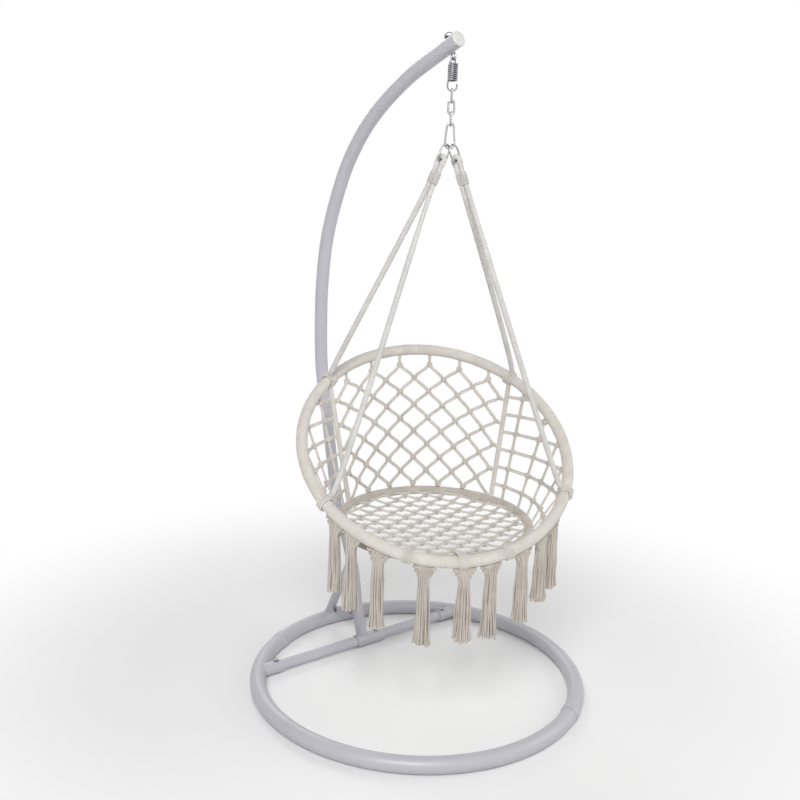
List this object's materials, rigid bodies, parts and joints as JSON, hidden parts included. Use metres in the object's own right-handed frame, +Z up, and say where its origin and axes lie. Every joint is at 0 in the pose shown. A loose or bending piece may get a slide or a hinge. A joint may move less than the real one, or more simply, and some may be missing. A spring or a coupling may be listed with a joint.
{
  "type": "hammock chair",
  "caption": "Net hammock chair of two wrapped hoops, hung by ropes, snap hook and spring from a curved post on a ring base.",
  "frame": {"origin": "centre of the whole object's footprint box, on the surface that the base ring stands on", "axes": "+Z up; +Y from the front of the base ring to the post; +X to the right of someone facing the post"},
  "size_m": [1.0458, 1.125, 1.9504],
  "materials": {
    "powder_coat": "pale lavender-grey powder coat, satin",
    "zinc": "bright zinc plate",
    "hoop_steel": "plain mild steel tube under the wrapping",
    "cap_plastic": "grey moulded plastic",
    "ivory_cotton": "undyed cotton cord, ivory",
    "beige_cotton": "undyed cotton cord, warm beige"
  },
  "bodies": {
    "stand": {"ring_front_left": "powder_coat", "ring_rear_right": "powder_coat", "cross_bar": "powder_coat", "post_lower": "powder_coat", "rear_brace": "powder_coat", "gusset_link": "powder_coat", "cross_bar_bolt_left": "zinc", "cross_bar_bolt_right": "zinc", "post_foot_bolt": "zinc", "brace_top_bolt": "zinc", "gusset_bolt_rear": "zinc", "gusset_bolt_front": "zinc", "post_upper": "powder_coat", "tip_cap": "cap_plastic", "eye_bolt": "zinc", "eye_nut": "zinc"},
    "spring_body": {"spring": "zinc"},
    "upper_link": {"link_1": "zinc"},
    "middle_link": {"link_2": "zinc"},
    "lower_link": {"link_3": "zinc"},
    "snap_hook": {"carabiner": "zinc"},
    "gate": {"carabiner_gate": "zinc"},
    "chair": {"rope_ring_left": "zinc", "rope_ring_right": "zinc", "rope_left": "ivory_cotton", "whipping_left": "ivory_cotton", "rope_right": "ivory_cotton", "whipping_right": "ivory_cotton", "seat_hoop_core": "hoop_steel", "seat_hoop_wrap": "ivory_cotton", "outer_hoop_core": "hoop_steel", "outer_hoop_wrap": "ivory_cotton", "rope_knot_rear_left": "ivory_cotton", "rope_knot_front_left": "ivory_cotton", "rope_knot_rear_right": "ivory_cotton", "rope_knot_front_right": "ivory_cotton", "lashing_left": "ivory_cotton", "lashing_right": "ivory_cotton", "front_lashing": "beige_cotton", "border_strand_left": "ivory_cotton", "border_strand_right": "ivory_cotton", "back_net": "ivory_cotton", "left_net": "ivory_cotton", "right_net": "ivory_cotton", "seat_net": "ivory_cotton", "tassel_1": "beige_cotton", "tassel_2": "beige_cotton", "tassel_3": "beige_cotton", "tassel_4": "beige_cotton", "tassel_5": "beige_cotton", "tassel_6": "beige_cotton", "tassel_7": "beige_cotton", "tassel_8": "beige_cotton", "tassel_9": "beige_cotton"}
  },
  "joints": [
    {"name": "swing_fore_aft", "type": "hinge", "parent": "stand", "child": "spring_body", "pos_m": [0, -0.09365, 1.8845], "axis": [1, 0, 0], "range_deg": [-15, 5]},
    {"name": "spring_stretch", "type": "slide", "parent": "spring_body", "child": "upper_link", "axis": [0, 0, -1], "range_m": [0, 0.03], "stiffness_N_per_m": 27000, "springref_m": -0.00198, "deforming": ["spring"]},
    {"name": "swing_side", "type": "hinge", "parent": "upper_link", "child": "middle_link", "pos_m": [0, -0.09365, 1.7612], "axis": [0.6088, 0.7934, 0], "range_deg": [-12, 12]},
    {"name": "link_twist", "type": "hinge", "parent": "middle_link", "child": "lower_link", "pos_m": [0, -0.09365, 1.7361], "axis": [0, 0, 1], "range_deg": [-25, 25]},
    {"name": "hook_twist", "type": "hinge", "parent": "lower_link", "child": "snap_hook", "pos_m": [0, -0.09365, 1.706], "axis": [0, 0, 1], "range_deg": [-25, 25]},
    {"name": "ring_twist", "type": "hinge", "parent": "snap_hook", "child": "chair", "pos_m": [0, -0.09365, 1.644], "axis": [0, 0, 1], "range_deg": [0, 25]},
    {"name": "hook_gate", "type": "hinge", "parent": "snap_hook", "child": "gate", "pos_m": [0.01031, -0.10157, 1.66077], "axis": [-0.6088, -0.7934, 0], "range_deg": [0, 20], "stiffness_Nm_per_rad": 0.02, "springref_deg": -20.05}
  ],
  "couplings": [
    {"joint": "hook_twist", "follows": "link_twist", "ratio": 1}
  ]
}
